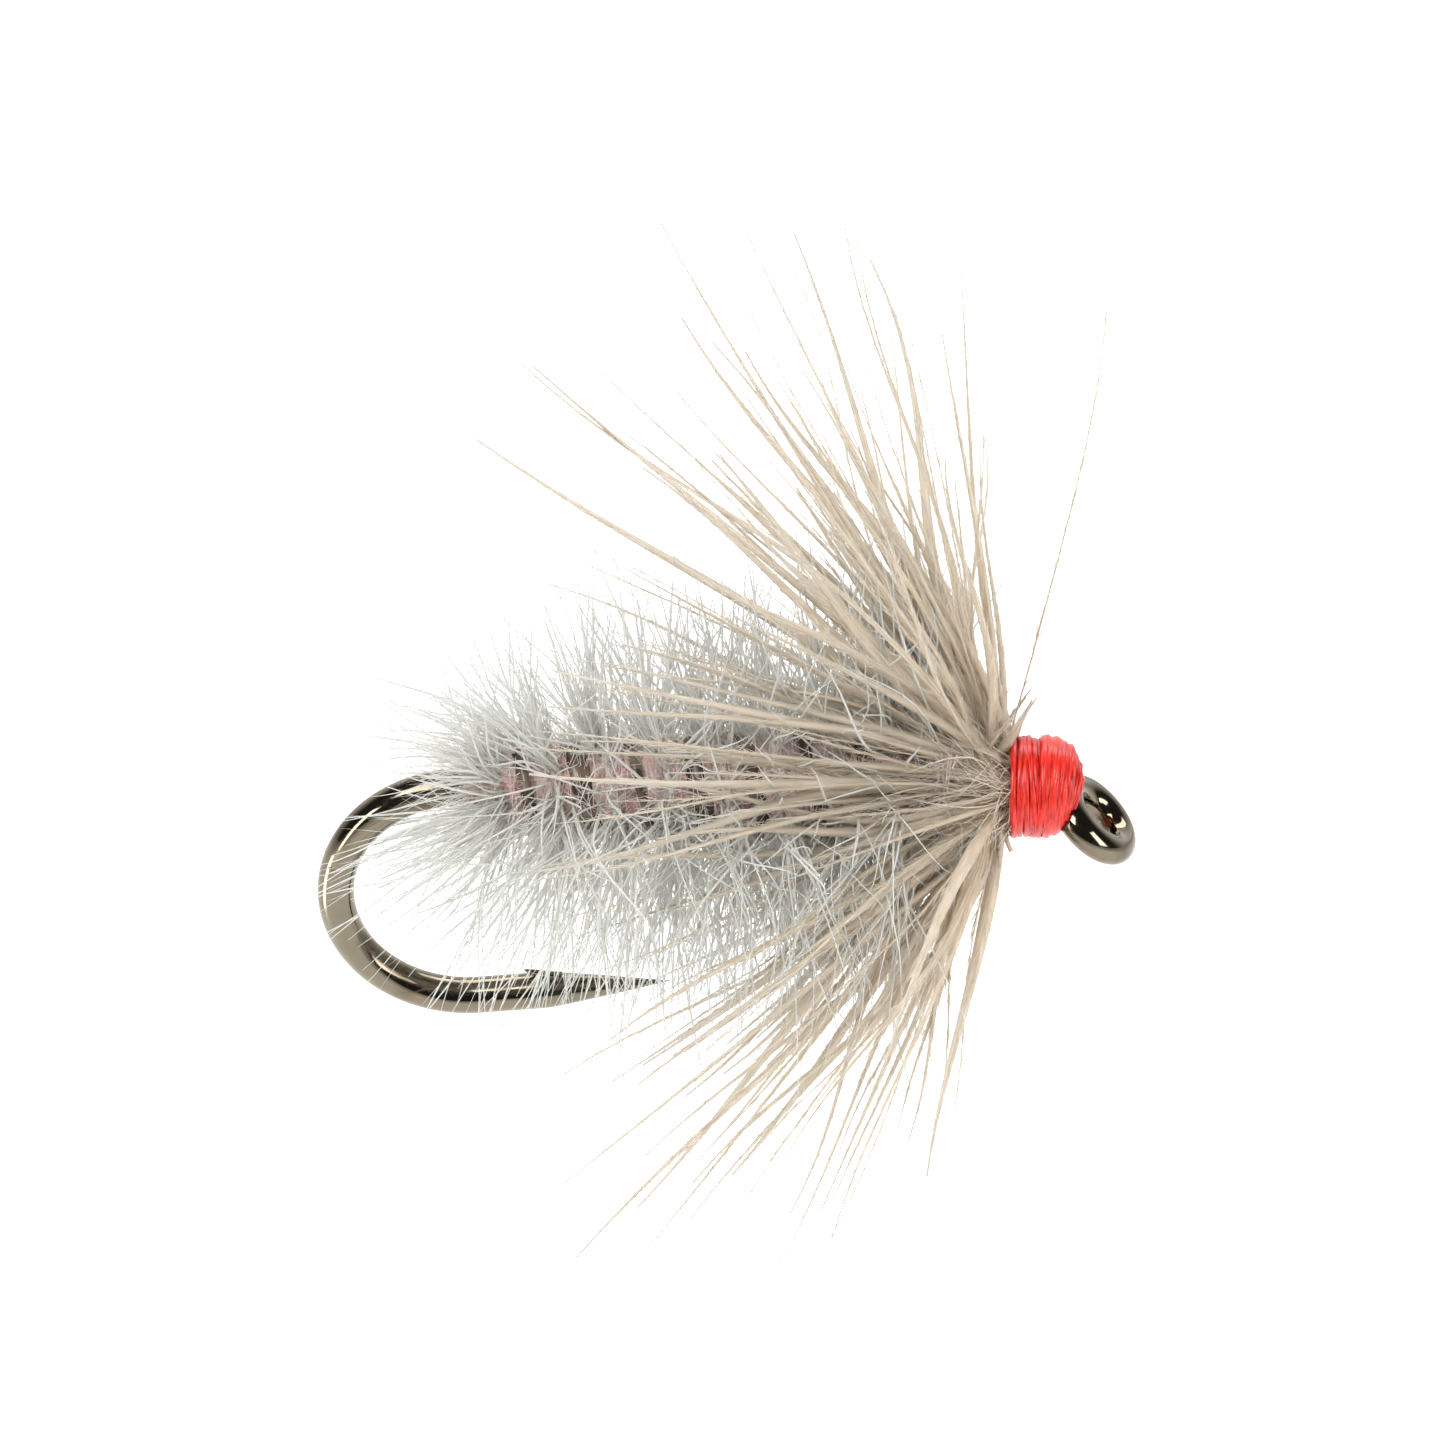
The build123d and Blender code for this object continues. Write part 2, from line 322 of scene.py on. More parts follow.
def ramp(tree, source, stops):
    """A colour ramp fed by a value: stops are (position, colour)."""
    node = tree.nodes.new("ShaderNodeValToRGB")
    elements = node.color_ramp.elements
    while len(elements) < len(stops):
        elements.new(0.5)
    for element, (position, colour) in zip(elements, stops):
        element.position = position
        element.color = (*colour, 1)
    tree.links.new(source, node.inputs["Fac"])
    return node.outputs["Color"]


def attribute(tree, name):
    """The value of one of the mesh's own point attributes."""
    return add_node(tree, "ShaderNodeAttribute", attribute_name=name).outputs["Fac"]


def noise(tree, scale, detail=4.0, roughness=0.55, stretch=None):
    """Object-space noise, in cells per metre, and stretched along an axis if asked."""
    place = tree.nodes.new("ShaderNodeTexCoord").outputs["Object"]
    if stretch:
        mapping = add_node(tree, "ShaderNodeMapping", Scale=stretch)
        tree.links.new(place, mapping.inputs["Vector"])
        place = mapping.outputs["Vector"]
    node = add_node(tree, "ShaderNodeTexNoise", Scale=scale, Detail=detail, Roughness=roughness)
    tree.links.new(place, node.inputs["Vector"])
    return node.outputs["Fac"]


def mix(tree, factor, first, second, kind="MIX", data="RGBA"):
    """A mix of two colours or values, each a socket or a constant."""
    node = add_node(tree, "ShaderNodeMix", data_type=data, blend_type=kind)
    *places, result = MIX_SOCKETS[data]
    for place, value in zip(places, (factor, first, second)):
        if isinstance(value, bpy.types.NodeSocket):
            tree.links.new(value, node.inputs[place])
        else:
            constant = (*value, 1) if isinstance(value, tuple) else value
            node.inputs[place].default_value = constant
    return node.outputs[result]


def bump(tree, bsdf, height, strength, distance):
    """Surface relief from a height value."""
    node = add_node(tree, "ShaderNodeBump", Strength=strength, Distance=distance)
    tree.links.new(height, node.inputs["Height"])
    tree.links.new(node.outputs["Normal"], bsdf.inputs["Normal"])


def hook_material():
    """Dark bronzed nickel: polished, with faint drawing lines and a patchy warm tint."""
    material, tree, bsdf = shader("bronzed_nickel", Metallic=1.0)
    tint = ramp(tree, noise(tree, scale=1400, detail=5.0), [
        (0.3, (0.12, 0.098, 0.067)),
        (0.5, (0.185, 0.156, 0.115)),
        (0.7, (0.15, 0.141, 0.102)),
    ])
    tree.links.new(tint, bsdf.inputs["Base Color"])
    worn = noise(tree, scale=9000, detail=6.0)
    worn = ramp(tree, worn, [(0.35, grey(0.06)), (0.7, grey(0.15))])
    tree.links.new(worn, bsdf.inputs["Roughness"])
    lines = noise(tree, scale=30000, detail=3.0, stretch=(0.15, 1, 1))
    bump(tree, bsdf, lines, strength=0.12, distance=4e-6)
    return material


def thread_material(name, dark, middle, light, coat):
    """Wound thread: fine fibres across each wrap, with painted shade in the grooves and painted
    light on the ridges of their relief, and varnish on top.
    """
    material, tree, bsdf = shader(
        name, Roughness=0.34, Specular_IOR_Level=0.35, Coat_Weight=coat, Coat_Roughness=0.15
    )
    fibres = noise(tree, scale=26000, detail=3.0, roughness=0.6, stretch=(1.0, 0.16, 0.16))
    patches = noise(tree, scale=2600, detail=2.0)
    patches = ramp(tree, patches, [(0.3, grey(0.7)), (0.6, grey(1))])
    # Painted shade and light: the fibres' random tone follows the same noise as the bump, so the
    # colour is darker in the relief's grooves and lighter on its ridges
    colour = ramp(tree, fibres, [(0.3, dark), (0.5, middle), (0.72, light)])
    colour = mix(tree, 0.5, colour, patches, "MULTIPLY")
    tree.links.new(colour, bsdf.inputs["Base Color"])
    bump(tree, bsdf, fibres, strength=0.35, distance=1.2e-5)
    return material


def fibre_material(name, root, middle, tip, lighter, rough, glow):
    """A translucent feather fibre: shaded along its length, no two quite the same."""
    material, tree, bsdf = shader(name, Roughness=rough, Specular_IOR_Level=0.6)
    colour = ramp(tree, attribute(tree, "along"), [(0.0, root), (0.4, middle), (1.0, tip)])
    pale = mix(tree, 0.4, colour, lighter, "SCREEN")
    colour = mix(tree, attribute(tree, "shade"), colour, pale)
    tree.links.new(colour, bsdf.inputs["Base Color"])
    through = tree.nodes.new("ShaderNodeBsdfTranslucent")
    tree.links.new(colour, through.inputs["Color"])
    blend = add_node(tree, "ShaderNodeMixShader", Fac=glow)
    tree.links.new(bsdf.outputs["BSDF"], blend.inputs[1])
    tree.links.new(through.outputs["BSDF"], blend.inputs[2])
    tree.links.new(blend.outputs["Shader"], tree.nodes["Material Output"].inputs["Surface"])
    return material


def quill_material():
    """Peacock-like quill: dark brown with a paler edge and cross banding."""
    material, tree, bsdf = shader(
        "banded_quill", Roughness=0.3, Coat_Weight=0.35, Coat_Roughness=0.2
    )
    band_count = 46
    bands = add_node(tree, "ShaderNodeMath", operation="FRACT")
    count = add_node(tree, "ShaderNodeMath", operation="MULTIPLY")
    count.inputs[1].default_value = band_count
    tree.links.new(attribute(tree, "along"), count.inputs[0])
    tree.links.new(count.outputs["Value"], bands.inputs[0])
    colour = ramp(tree, bands.outputs["Value"], [
        (0.0, (0.020, 0.013, 0.009)),
        (0.45, (0.060, 0.038, 0.024)),
        (0.8, (0.16, 0.11, 0.075)),
    ])
    patches = ramp(tree, noise(tree, scale=7000), [(0.3, grey(0.5)), (0.7, grey(1.3))])
    colour = mix(tree, 0.6, colour, patches, "MULTIPLY")
    tree.links.new(colour, bsdf.inputs["Base Color"])
    bump(tree, bsdf, noise(tree, scale=20000, detail=4.0), strength=0.3, distance=1e-5)
    return material


def dubbing_material():
    """Spun underfur: dusty pink with grey and cream patches."""
    material, tree, bsdf = shader(
        "pink_dubbing", Roughness=0.8, Sheen_Weight=0.5, Sheen_Roughness=0.4
    )
    colour = ramp(tree, noise(tree, scale=900, detail=5.0, roughness=0.6), [
        (0.34, (0.55, 0.47, 0.39)),
        (0.45, (0.86, 0.68, 0.62)),
        (0.53, (0.93, 0.46, 0.46)),
        (0.64, (0.86, 0.79, 0.71)),
    ])
    tree.links.new(colour, bsdf.inputs["Base Color"])
    fluff = noise(tree, scale=14000, detail=6.0, roughness=0.7)
    bump(tree, bsdf, fluff, strength=0.8, distance=4e-5)
    return material


# ---------------------------------------------------------------- hook


def make_hook(material):
    """The wire from inside the head round the bend to the point, with its raised barb."""
    shank_steps, bend_steps, spear_steps = 24, 96, 60
    point_curve, blunt_tip = 1.12, 0.012
    start = np.array([WIRE_START, 0, SHANK_Z])
    shank = np.linspace(start, [BEND_START, 0, SHANK_Z], shank_steps, endpoint=False)
    angle = np.linspace(math.pi / 2, 3 * math.pi / 2 + SPEAR_RISE, bend_steps)
    bend = np.stack([
        BEND_START + BEND_RADIUS * np.cos(angle),
        np.zeros(bend_steps),
        SHANK_Z - BEND_RADIUS + BEND_RADIUS * np.sin(angle),
    ], -1)
    forward, lift = tilted(-SPEAR_RISE)
    reach = SPEAR_LENGTH + POINT_LENGTH
    run = np.linspace(reach / spear_steps, reach, spear_steps)
    spear = bend[-1] + forward * run[:, None]
    taper = 1 - (np.clip(run - SPEAR_LENGTH, 0, None) / POINT_LENGTH) ** point_curve
    taper = np.concatenate([np.ones(shank_steps + bend_steps), np.maximum(taper, blunt_tip)])
    wire = tube(np.concatenate([shank, bend, spear]), taper * WIRE_RADIUS, sides=48)
    whole = merge(wire, hook_barb(bend[-1], forward, lift))
    piece("hook_wire", whole, material, ["hook"])


def hook_barb(spear_start, forward, lift):
    """A thin curved spur cut from the inside of the spear, with its tip towards the bend."""
    root_place, length = 1.24, 0.54        # millimetres along the spear
    sink, rise, rise_curve = 0.07 * MM, 0.2 * MM, 1.3
    thick, thinning, tip = 0.105 * MM, 0.6, 0.006 * MM
    share = np.linspace(0, 1, 14)
    back = (root_place - length * share) * MM
    height = WIRE_RADIUS - sink + rise * share**rise_curve
    path = spear_start + forward * back[:, None] + lift * height[:, None]
    return tube(path, thick * (1 - share) ** thinning + tip, sides=16, flat=0.62)


def make_eye(material):
    """The sloping neck and the closed ring, blended into one surface."""
    unevenness, lead_share, tail_share = 0.06, 0.3, 0.5
    curve_steps, straight_steps = 40, 12
    out, _ = tilted(EYE_TILT)
    angle = np.linspace(0, TAU, 97)
    ring_path = EYE_RADIUS * (out * np.cos(angle)[:, None] + ACROSS * np.sin(angle)[:, None])
    ring = tube(ring_path, EYE_WIRE_RADIUS * (1 - unevenness * np.cos(angle)), sides=40)

    # The neck: straight along the shank, round a corner, and straight down to the ring
    root = -out * EYE_RADIUS
    corner = root - out * (SHANK_Z - root[2]) / math.sin(EYE_TILT)
    start = np.array([NECK_START, 0, SHANK_Z])
    lead = corner + (start - corner) * lead_share
    tail = corner + (root - corner) * tail_share
    share = np.linspace(0, 1, curve_steps)[:, None]
    curve = (1 - share) ** 2 * lead + 2 * share * (1 - share) * corner + share**2 * tail
    before = np.linspace(start, lead, straight_steps, endpoint=False)
    after = np.linspace(tail, root, straight_steps)[1:]
    path = np.concatenate([before, curve, after])
    radii = [WIRE_RADIUS, WIRE_RADIUS, WIRE_RADIUS * 0.98, EYE_WIRE_RADIUS * 0.8]
    neck = tube(path, spread(radii, len(path)), sides=40)

    made = piece("hook_eye_ring", merge(ring, neck), material, ["hook"])
    remesh = made.modifiers.new("blend", "REMESH")
    remesh.mode = "VOXEL"
    remesh.voxel_size = 0.016 * MM
    remesh.use_smooth_shade = True
    smooth = made.modifiers.new("soften", "SMOOTH")
    smooth.factor = 0.5
    smooth.iterations = 6


# ---------------------------------------------------------------- thread and body


def around(x, radius, angle):
    """Points round the shank: angle 0 is up, a quarter turn is the near side."""
    return np.stack([
        np.asarray(x, float) + 0 * np.asarray(angle),
        -radius * np.sin(angle),
        SHANK_Z + radius * np.cos(angle),
    ], -1)


def body_radius(x):
    """The dubbed body's radius at a station along the shank."""
    share = (np.asarray(x) - dubbing_low.x) / (dubbing_high.x - dubbing_low.x)
    return REAR_RADIUS + (FRONT_RADIUS - REAR_RADIUS) * np.clip(share, 0, 1)


def winding(start, end, turns, radius, steps=28, wobble=0.0, seed=0):
    """A helix of one radius round the shank, whose turns wobble a little along it if asked."""
    rng = np.random.default_rng(seed)
    share = np.linspace(0, 1, int(turns * steps))
    angle = share * turns * TAU
    # Two waves out of step with the turns and with each other
    sway = wobble * np.sin(angle * 1.37 + rng.random() * TAU) + wobble * 0.6 * np.sin(angle * 0.31)
    return around(start + (end - start) * share + sway, radius, angle)


def conical_winding(start, end, turns, proud, steps=40):
    """A helix that follows the body's cone, with its centre line a little above the dubbing."""
    share = np.linspace(0, 1, int(turns * steps))
    x = start + (end - start) * share
    return around(x, body_radius(x) + proud, share * turns * TAU)


def on_shank(places):
    """Points on the shank's centre line."""
    return [(x, 0, SHANK_Z) for x in places]


def leaning_rings(stations, radii, leans, thickness, seed):
    """Single wraps of thread round the head, each leaning and wandering a little on its own."""
    rng = np.random.default_rng(seed)
    angle = np.linspace(0, TAU, 73)
    sway, swell = 0.012 * MM, 0.010 * MM
    rings = []
    for station, radius, lean in zip(stations, radii, leans):
        along, rise = tilted(lean)
        wander = sway * np.sin(angle * rng.integers(1, 4) + rng.random() * TAU)
        size = radius + swell * np.sin(angle * rng.integers(2, 5) + rng.random() * TAU)
        ring = rise * np.cos(angle)[:, None] + ACROSS * np.sin(angle)[:, None]
        rings.append(station + size[:, None] * ring + along * wander[:, None])
    lying = np.full(len(rings), TAU / 4)
    return tubes(np.array(rings), thickness, sides=12, flat=0.6, spin=lying)


def make_head(material):
    """Collar, barrel and whip finish, each wound with separate turns of thread."""
    rng = np.random.default_rng(11)
    for name, make, node, seed in (
        ("collar_wraps", collar_grid, "hackle_collar_wraps", 5),
        ("head_wraps", barrel_grid, "head_thread_wraps", 6),
        ("whip_wraps", whip_grid, "whip_finish_wraps", 7),
    ):
        piece(name, make(rng), material, [node], seed)


def collar_grid(rng):
    """The wraps against the front hackle, over a thicker layer."""
    wraps = 4
    stations = on_shank(np.linspace(collar_low.x, collar_high.x + 0.02 * MM, wraps))
    radii = np.full(wraps, half_height(collar_low, collar_high) - 2 * RED_THREAD)
    outer = leaning_rings(stations, radii, rng.normal(0, 0.05, wraps), RED_THREAD, seed=3)
    inner = leaning_rings(stations, radii - 0.1 * MM, [0] * wraps, RED_THREAD * 1.4, seed=4)
    return merge(outer, inner)


def barrel_grid(rng):
    """The head itself: three layers of wraps, a few that cross them, and a solid core."""
    head_radius = half_height(head_low, head_high) - RED_THREAD
    wraps, unevenness = 14, 0.010 * MM
    share = np.linspace(0, 1, wraps)
    stations = on_shank(np.linspace(head_low.x, head_high.x - 0.13 * MM, wraps))
    # It narrows over its front part and a little at the rear
    front_fall = 0.26 * np.clip(share / 0.6 - 0.667, 0, None) ** 2
    rear_fall = 0.12 * (1 - share) ** 3
    bulge = head_radius * (1.0 - front_fall - rear_fall)
    # Each layer's depth, its thickness in threads, and the mean and spread of its wraps' lean
    layers = ((0.0, 1.2, (0.11, 0.07)), (0.03 * MM, 1.4, (0.11, 0.07)), (0.13 * MM, 1.9, None))
    grids = []
    for index, (sink, thickness, lean) in enumerate(layers):
        radii = bulge - sink + rng.normal(0, unevenness, wraps)
        leans = rng.normal(*lean, wraps) if lean else [0.05] * wraps
        grids.append(leaning_rings(stations, radii, leans, RED_THREAD * thickness, 20 + index))

    # Each crossing wrap's place in millimetres, its share of the head's radius, and its lean
    crossing = (
        (0.14, 0.99, -0.12), (0.23, 1.01, 0.18), (0.31, 1.01, -0.04), (0.38, 0.99, 0.16),
        (0.45, 0.95, 0.14),
    )
    places, shares, leans = np.array(crossing).T
    stations = on_shank(head_low.x + places * MM)
    grids.append(leaning_rings(stations, head_radius * shares, leans, RED_THREAD, seed=30))

    core_radii = spread([0.30, 0.69, 0.70, 0.62, 0.36], 9) * MM
    core_end = [head_high.x - 0.03 * MM, 0, SHANK_Z - 0.07 * MM]
    core = np.linspace([head_low.x, 0, SHANK_Z], core_end, len(core_radii))
    grids.append(tube(core, core_radii, sides=48))
    return merge(*grids)


def whip_grid(rng):
    """The whip finish, whose wraps narrow and lean down over the eye's neck."""
    lean = math.radians(16)
    along, _ = tilted(lean)
    middle_x = (whip_low.x + whip_high.x) / 2 - 0.07 * MM
    place = np.array([middle_x, 0, (whip_low.z + whip_high.z) / 2])
    radii = np.array([0.645, 0.615, 0.575, 0.53, 0.475, 0.415]) * MM
    wraps = len(radii)
    stations = [place + along * offset for offset in np.linspace(-0.15, 0.12, wraps) * MM]
    leans = [lean] * wraps
    outer_leans = lean + rng.normal(0, 0.06, wraps)
    return merge(
        leaning_rings(stations, radii, outer_leans, RED_THREAD, seed=41),
        leaning_rings(stations, radii - 0.08 * MM, leans, RED_THREAD * 1.6, seed=42),
        leaning_rings(stations, radii - 0.19 * MM, leans, RED_THREAD * 2.6, seed=43),
    )


def make_underlay(material):
    """Thread base, rear tie-in and tie-off, wound in pinkish thread."""
    base_spacing, wrap_spacing = PINK_THREAD * 1.9, PINK_THREAD * 1.7
    layer_depth, wobble = 0.09 * MM, 0.01 * MM
    base_radius = half_height(base_low, base_high) - PINK_THREAD * 0.5
    turns = (base_high.x - base_low.x) / base_spacing
    path = winding(base_low.x, base_high.x, turns, base_radius, steps=16)
    base = tube(path, PINK_THREAD, sides=6)
    piece("thread_base", base, material, ["shank_thread_base"])
    for name, node, low, high, seed in (
        ("rear_wraps", "rear_tie_in_wraps", rear_low, rear_high, 22),
        ("tie_off_wraps", "body_hackle_tie_off", tie_off_low, tie_off_high, 23),
    ):
        radius = half_height(low, high) - PINK_THREAD
        turns = max(3, (high.x - low.x) / wrap_spacing)
        outer = winding(low.x, high.x, turns, radius, wobble=wobble, seed=seed)
        depth = radius - layer_depth
        inner = winding(low.x, high.x, turns, depth, wobble=wobble, seed=seed + 10)
        wraps = merge(tube(outer, PINK_THREAD, sides=10), tube(inner, PINK_THREAD * 1.2, sides=8))
        piece(name, wraps, material, [node], seed)


def make_dubbing(material, fuzz_material):
    """A lumpy spun core, drawn in where the rib bites, with loose underfur over it."""
    rng = np.random.default_rng(31)
    core = dubbing_grid(rng)
    piece("dubbing_core", core, material, ["dubbed_underbody"])
    piece("dubbing_fuzz", underfur_grid(rng), fuzz_material, (), 32)


def dubbing_grid(rng):
    """The core: a cone with rounded ends, lumps from random waves, and the rib's groove."""
    rings, sides, wave_count = 200, 72, 60
    lump_height, groove_depth = 0.05, 0.055
    end_length, end_radius, rounding = 0.22 * MM, 0.62, 0.36
    x = np.linspace(dubbing_low.x, dubbing_high.x, rings)
    angle = TAU * np.arange(sides) / sides
    lumps = np.zeros((rings, sides))
    for _ in range(wave_count):
        waves = rng.integers(1, 9)
        length = rng.uniform(0.25, 1.4) * MM
        height = rng.normal() / 8
        phase = waves * angle[None] + x[:, None] * TAU / length + rng.random() * TAU
        lumps += height * np.sin(phase)
    pitch = (rib_high.x - rib_low.x) / RIB_TURNS_IN_BOX
    groove = np.cos((x[:, None] - rib_low.x) / pitch * TAU - angle[None])
    end = np.clip(np.minimum(x - x[0], x[-1] - x) / end_length, 0, 1)[:, None]
    radius = body_radius(x)[:, None] * (end_radius + rounding * np.sqrt(1 - (1 - end) ** 2))
    radius = radius * (0.97 + lump_height * lumps - groove_depth * np.clip(groove, 0, 1) ** 3)
    core = around(x[:, None], radius, np.broadcast_to(angle, radius.shape))
    return stack(core[None])


def underfur_grid(rng):
    """Loose hairs that lie round the core and lift off it in places."""
    count, segments, thick = 2600, 7, 0.008 * MM
    start = rng.uniform(dubbing_low.x + 0.1 * MM, dubbing_high.x - 0.1 * MM, count)
    turn = rng.uniform(0, TAU, count)
    share = np.linspace(0, 1, segments)[None, :]
    wrap = rng.normal(0, 1.0, (count, 1)) * share
    wave = 0.25 * np.sin(share * rng.uniform(3, 9, (count, 1)))
    x = start[:, None] + rng.normal(0, 0.35, (count, 1)) * MM * share
    height = rng.uniform(0.0, 0.26, (count, 1)) * MM
    proud = height * np.sin(share * math.pi * rng.uniform(0.6, 1.4, (count, 1)))
    paths = around(x, body_radius(x) * 0.97 + np.abs(proud), turn[:, None] + wrap + wave)
    return tubes(paths, thick * (1.1 - share**2))


def make_rib(quill, stem):
    """The banded quill and the palmered hackle's stem."""
    inset, half_width, unevenness, waver = 0.08 * MM, 0.150 * MM, 0.12, 60
    rib = conical_winding(rib_low.x + inset, rib_high.x - inset, RIB_TURNS, proud=0.05 * MM)
    wide = half_width * (1 + unevenness * np.sin(np.linspace(0, waver, len(rib))))
    piece("quill_rib", tube(rib, wide, sides=14, flat=0.55), quill, ["body_rib"])
    path = conical_winding(BODY_STEM_START, BODY_STEM_END, BODY_TURNS, proud=0.03 * MM)
    grid = tube(path, 0.05 * MM, sides=10)
    piece("hackle_stem", grid, stem, ["body_hackle_stem"])


# ---------------------------------------------------------------- fibres of both hackles


def fibre_paths(roots, directions, lengths, bends, segments, sways=None):
    """Curved paths: a straight run, a bend that grows along it, and a sideways S if asked."""
    half_waves = 1.6
    share = np.linspace(0, 1, segments)[None, :, None]
    lengths = lengths[:, None, None]
    paths = roots[:, None] + directions[:, None] * lengths * share
    paths = paths + bends[:, None] * lengths * share**2
    if sways is not None:
        paths = paths + sways[:, None] * lengths * np.sin(share * math.pi * half_waves)
    return paths


def lean_out(angle, sweep):
    """Unit vectors that lean out from the shank at an angle, swept back by another."""
    radial = np.stack([np.zeros_like(angle), -np.sin(angle), np.cos(angle)], -1)
    return radial * np.cos(sweep)[:, None] - ALONG * np.sin(sweep)[:, None]


# ---------------------------------------------------------------- body hackle


def parted(angle):
    """How far the hackle is parted at an angle round the shank: on the upper near side.

    It is 1 round the middle of the parting and falls evenly to 0 outside it.
    """
    middle, half, plateau = math.radians(40), math.radians(50), 0.25
    off = np.abs((angle - middle + math.pi) % TAU - math.pi)
    return np.clip(1 + plateau - off / half, 0, 1)


def make_body_hackle(material, web_material):
    """Eight turns of stiff fibres that cross at their tips, over a short web."""
    for turn in range(BODY_TURNS):
        grid = body_turn_grid(turn)
        node = f"body_hackle_turn_{turn + 1}"
        piece(f"body_fibres_{turn + 1}", grid, material, [node], 120 + turn)
    piece("body_web", body_web_grid(), web_material, (), 91)


def body_turn_grid(turn):
    """One turn's fibres: they stand out all round, and the first turn's sweep back."""
    rng = np.random.default_rng(100 + turn)
    count, segments, strays = 290, 9, 12
    angle_scatter, place_scatter, lean_scatter = 0.22, 0.12, 0.34
    curve, sway = 0.10, 0.03
    share = rng.random(count)
    angle = share * TAU + rng.normal(0, angle_scatter, count)
    parting = min(turn / 2, 1) * 0.9        # none on the first turn, and half on the second
    kept = rng.random(count) > parting * parted(angle)
    share, angle = share[kept], angle[kept]
    count = len(share)
    length = BODY_STEM_END - BODY_STEM_START
    x = BODY_STEM_START + length / BODY_TURNS * (turn + share)
    x = x + rng.normal(0, place_scatter, count) * MM
    roots = around(x, body_radius(x) + 0.02 * MM, angle)

    # The fibres reach further towards the head, and further on the side seen below the body
    along_body = np.clip((x - BODY_STEM_START) / length, 0, 1)
    droop = np.clip(-np.cos(angle + CAMERA_ELEVATION), 0, 1)
    reach = (3.15 + 0.75 * along_body + (0.95 - 0.6 * along_body) * droop) * MM
    sweep = np.clip(rng.normal(0.08, 0.32, count), -0.5, 0.9)
    if turn == 0:
        sweep = rng.uniform(math.radians(4), math.radians(80), count)
        reach = reach * (0.82 + 0.16 * sweep)
    if turn == 1:
        sweep = sweep + math.radians(10)
    if turn == BODY_TURNS - 1:
        sweep = np.abs(sweep)

    directions = unit(lean_out(angle + rng.normal(0, lean_scatter, count), sweep))
    lengths = (reach - body_radius(x)) * rng.triangular(0.45, 0.9, 1.18, count)
    lengths[:strays] *= 1.25
    bends, sways = rng.normal(0, curve, (count, 3)), rng.normal(0, sway, (count, 3))
    paths = fibre_paths(roots, directions, lengths, bends, segments, sways)
    profile = spread([1.0, 0.97, 0.85, 0.55, 0.14], segments)[None]
    thick = rng.uniform(0.014, 0.027, (count, 1)) * MM
    return tubes(paths, thick * profile, sides=4, flat=0.7, spin=rng.uniform(0, TAU, count))


def body_web_grid():
    """Short hairs close to the body, which lie back where it ends at the rear."""
    rng = np.random.default_rng(90)
    count, thick, lean_scatter, curve = 3000, 0.008 * MM, 0.6, 0.3
    rear_count = count // 14
    start, end = BODY_STEM_START, BODY_STEM_END
    x = rng.uniform(start - 0.25 * MM, end + 0.1 * MM, count)
    x[:rear_count] = rng.uniform(start - 0.35 * MM, start + 0.3 * MM, rear_count)
    angle = rng.uniform(0, TAU, count)
    roots = around(x, body_radius(x) * np.where(x < start - 0.1 * MM, 0.8, 1), angle)
    sweep = rng.normal(0.1, 0.55, count)
    rear = x < start + 0.5 * MM
    sweep = np.where(rear, rng.uniform(0.5, 1.5, count), sweep)
    directions = unit(lean_out(angle + rng.normal(0, lean_scatter, count), sweep))
    lengths = rng.uniform(0.35, 1.5, count) * MM * (1 - 0.6 * parted(angle) * (1 - rear))
    profile = np.array([1.0, 0.95, 0.8, 0.5, 0.1])
    bends = rng.normal(0, curve, (count, 3))
    paths = fibre_paths(roots, directions, lengths, bends, len(profile))
    return tubes(paths, thick * profile[None])


# ---------------------------------------------------------------- front hackle

# Barbs that stand out in the hackle's outline: sweep back in degrees, length in millimetres,
# and how far the tip curls forward as a share of the length
HIGH_BARBS = (
    (-20, 7.5, -0.15), (5, 6.3, -0.04), (17, 8.9, 0.09), (16, 8.1, 0.06), (24, 9.3, 0.0),
    (31, 9.1, 0.02), (27, 8.5, 0.02), (25, 8.5, -0.02), (21, 8.2, 0.0), (36, 8.0, 0.03),
    (39, 7.6, 0.0), (42, 8.5, -0.03), (49, 8.7, 0.0), (50, 9.4, 0.02), (58, 8.8, 0.03),
)
LOW_BARBS = (
    (33, 7.5, 0.03), (27, 7.4, 0.0), (19, 6.6, -0.09), (36, 8.0, -0.04), (42, 7.6, 0.0),
    (35, 7.3, 0.02), (43, 8.9, 0.0), (50, 8.5, -0.02), (56, 7.6, 0.0), (9, 4.6, -0.05),
    (6, 4.1, -0.02),
)

# The other barbs: how many, their direction round the shank, how far they spread from it in
# radians, the ranges of their sweep and length, and the mean and spread of their curl
BARB_SETS = (
    (70, ABOVE, 0.5, (3, 48), (4.2, 7.8), (0.0, 0.07)),
    (52, BELOW, 0.5, (12, 58), (3.8, 7.4), (-0.05, 0.07)),
    (24, NEAR, 0.6, (60, 74), (4.2, 7.1), (-0.05, 0.07)),
    (22, NEAR, 0.8, (48, 74), (2.2, 4.2), (-0.08, 0.08)),
    (7, NEAR - 0.75, 0.3, (54, 68), (5.0, 7.4), (-0.04, 0.06)),
    (36, FAR, 0.7, (22, 62), (4.4, 7.2), (-0.10, 0.08)),
    (12, ABOVE, 0.4, (-30, 6), (0.7, 1.2), (0.05, 0.08)),
    (9, BELOW, 0.4, (-8, 24), (0.7, 1.1), (0.0, 0.08)),
)


def outline_set(rng, barbs, middle):
    """The barbs of one outline list, close to one plane through the shank."""
    sweep, length, curl = np.array(barbs, float).T
    scatter = 0.10
    return {
        "angle": rng.normal(middle, scatter, len(barbs)),
        "sweep": np.radians(sweep),
        "length": length * MM,
        "curl": curl,
    }


